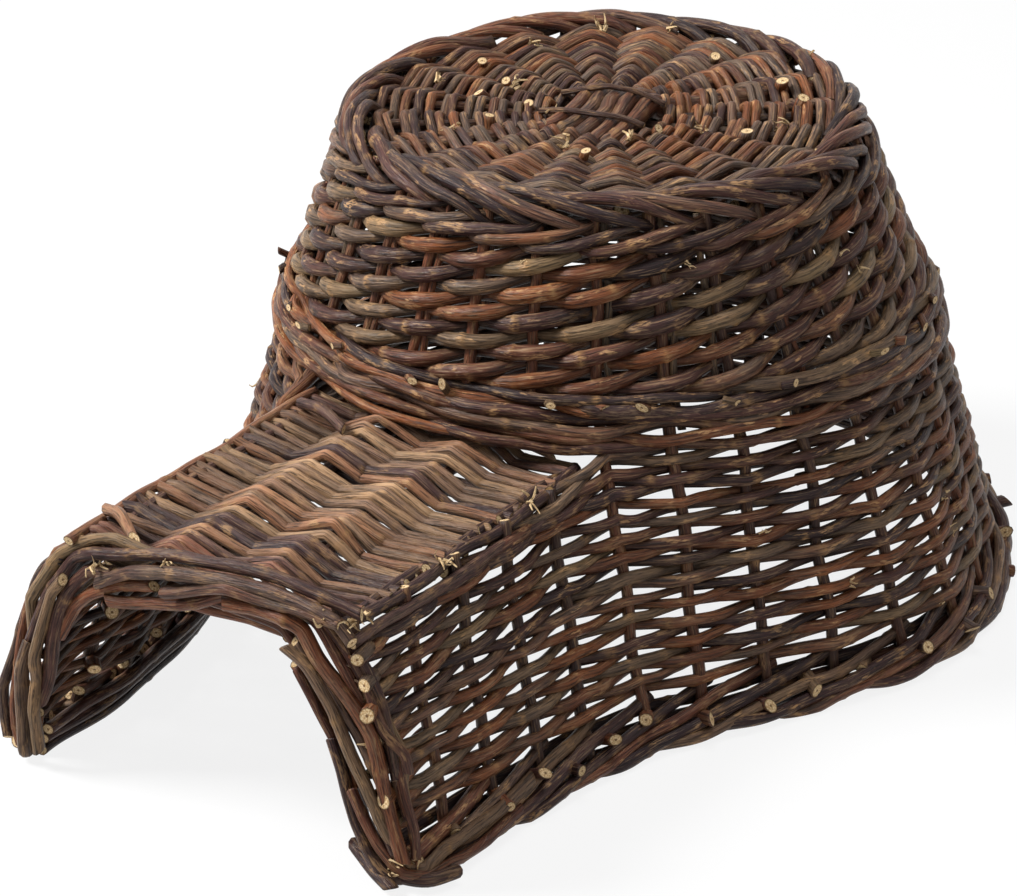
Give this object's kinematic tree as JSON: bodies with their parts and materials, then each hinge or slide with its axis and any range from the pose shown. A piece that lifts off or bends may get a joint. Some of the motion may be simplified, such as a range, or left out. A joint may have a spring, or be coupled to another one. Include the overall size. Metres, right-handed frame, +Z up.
{
  "type": "hedgehog house",
  "caption": "Domed hedgehog house woven from dark unpeeled willow rods on stakes, with a flat-roofed entrance tunnel and an open bottom",
  "frame": {"origin": "on the ground, under the middle of the outline's bounding box", "axes": "+Z up, -Y out of the tunnel's mouth, +X to the right of someone who looks along +Y into the mouth"},
  "size_m": [0.4012, 0.5312, 0.234],
  "materials": {
    "woven_bark": "satin",
    "stake_bark": "satin",
    "border_bark": "satin",
    "roof_bark": "satin"
  },
  "bodies": {
    "root": {"slath_long_sticks": "stake_bark", "slath_cross_sticks": "stake_bark", "slath_ties": "stake_bark", "crown_weave_row_01": "woven_bark", "crown_weave_row_02": "woven_bark", "crown_weave_row_03": "woven_bark", "crown_weave_row_04": "woven_bark", "crown_weave_row_05": "woven_bark", "crown_weave_row_06": "woven_bark", "crown_weave_row_07": "woven_bark", "crown_weave_row_08": "woven_bark", "crown_weave_row_09": "woven_bark", "crown_weave_row_10": "woven_bark", "crown_weave_row_11": "woven_bark", "crown_weave_row_12": "woven_bark", "crown_rim": "border_bark", "wall_stakes": "stake_bark", "front_stakes": "stake_bark", "upper_weave_row_01": "woven_bark", "upper_weave_row_02": "woven_bark", "upper_weave_row_03": "woven_bark", "upper_weave_row_04": "woven_bark", "upper_weave_row_05": "woven_bark", "upper_weave_row_06": "woven_bark", "upper_weave_row_07": "woven_bark", "upper_weave_row_08": "woven_bark", "upper_weave_row_09": "woven_bark", "upper_weave_row_10": "woven_bark", "upper_weave_row_11": "woven_bark", "upper_weave_row_12": "woven_bark", "shoulder_wale": "woven_bark", "lower_weave_row_01": "woven_bark", "lower_weave_row_02": "woven_bark", "lower_weave_row_03": "woven_bark", "lower_weave_row_04": "woven_bark", "lower_weave_row_05": "woven_bark", "lower_weave_row_06": "woven_bark", "lower_weave_row_07": "woven_bark", "lower_weave_row_08": "woven_bark", "lower_weave_row_09": "woven_bark", "lower_weave_row_10": "woven_bark", "lower_weave_row_11": "woven_bark", "lower_weave_row_12": "woven_bark", "lower_weave_row_13": "woven_bark", "lower_weave_row_14": "woven_bark", "lower_weave_row_15": "woven_bark", "lower_weave_row_16": "woven_bark", "lower_weave_row_17": "woven_bark", "lower_weave_row_18": "woven_bark", "lower_weave_row_19": "woven_bark", "lower_weave_row_20": "woven_bark", "tunnel_stakes": "stake_bark", "roof_sticks": "roof_bark", "roof_edge_rods": "roof_bark", "roof_cross_rods": "roof_bark", "mouth_border": "border_bark", "foot_border": "border_bark", "foot_band": "border_bark"}
  },
  "joints": []
}
